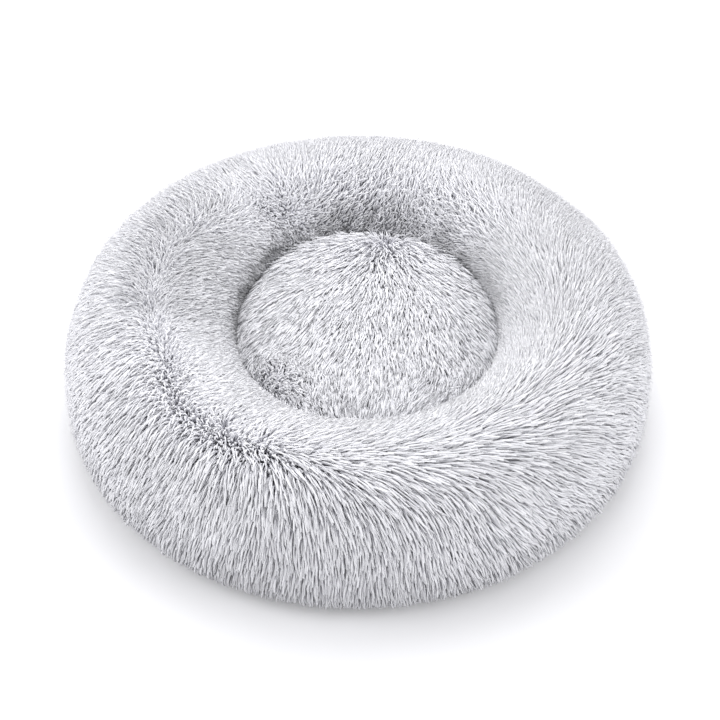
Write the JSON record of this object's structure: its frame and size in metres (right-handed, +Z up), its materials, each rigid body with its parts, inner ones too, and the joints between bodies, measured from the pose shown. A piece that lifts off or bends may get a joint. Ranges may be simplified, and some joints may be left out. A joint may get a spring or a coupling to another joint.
{
  "type": "donut pet bed",
  "caption": "Round plush pet bed: a stuffed ring round a crowned cushion, on a flat base cloth with grip dots and a zip in its border.",
  "frame": {"origin": "on the floor, under the middle of the bed's outline", "axes": "+Z up, -Y towards the front, +X to the right as seen from the front; the zip is at the back"},
  "size_m": [0.6, 0.6, 0.165],
  "materials": {
    "plush_pile": "long soft pile, light cool grey, matt with a soft sheen",
    "inner_lining": "thin plain non-woven cloth, matt",
    "fibre_fill": "loose white fibre stuffing, matt",
    "base_cloth": "closely woven cloth, matt, with small raised grip dots",
    "seam_cord": "folded and stitched seam edge, matt",
    "zip_tape": "ribbed woven tape, matt",
    "zip_coil": "moulded nylon coil, satin",
    "zip_metal": "smooth grey enamel on cast metal"
  },
  "bodies": {
    "bed": {"bolster_fur": "plush_pile", "bolster_liner": "inner_lining", "bolster_fill": "fibre_fill", "tunnel_wall": "inner_lining", "cushion_fur": "plush_pile", "cushion_liner": "inner_lining", "cushion_fill": "fibre_fill", "inner_seam_cord": "seam_cord", "base_panel": "base_cloth", "outer_seam_cord": "seam_cord", "base_seam_cord": "seam_cord", "base_border": "base_cloth", "zip_tape_inner": "zip_tape", "zip_tape_outer": "zip_tape", "zip_coil_inner": "zip_coil", "zip_coil_outer": "zip_coil", "zip_stop_closed": "zip_metal", "zip_stop_open": "zip_metal", "zip_end_tab_right": "zip_tape", "zip_end_tab_left": "zip_tape"},
    "zip_slider": {"zip_slider": "zip_metal"},
    "zip_pull": {"zip_pull": "zip_metal"}
  },
  "joints": [
    {"name": "zip_travel", "type": "hinge", "parent": "bed", "child": "zip_slider", "pos_m": [0, 0, 0], "axis": [0, 0, 1], "range_deg": [0, 113.7]},
    {"name": "zip_pull_swing", "type": "hinge", "parent": "zip_slider", "child": "zip_pull", "pos_m": [0.21846, 0.14259, 0.0052], "axis": [-0.7291, -0.4759, -0.4918], "range_deg": [0, 180]}
  ]
}
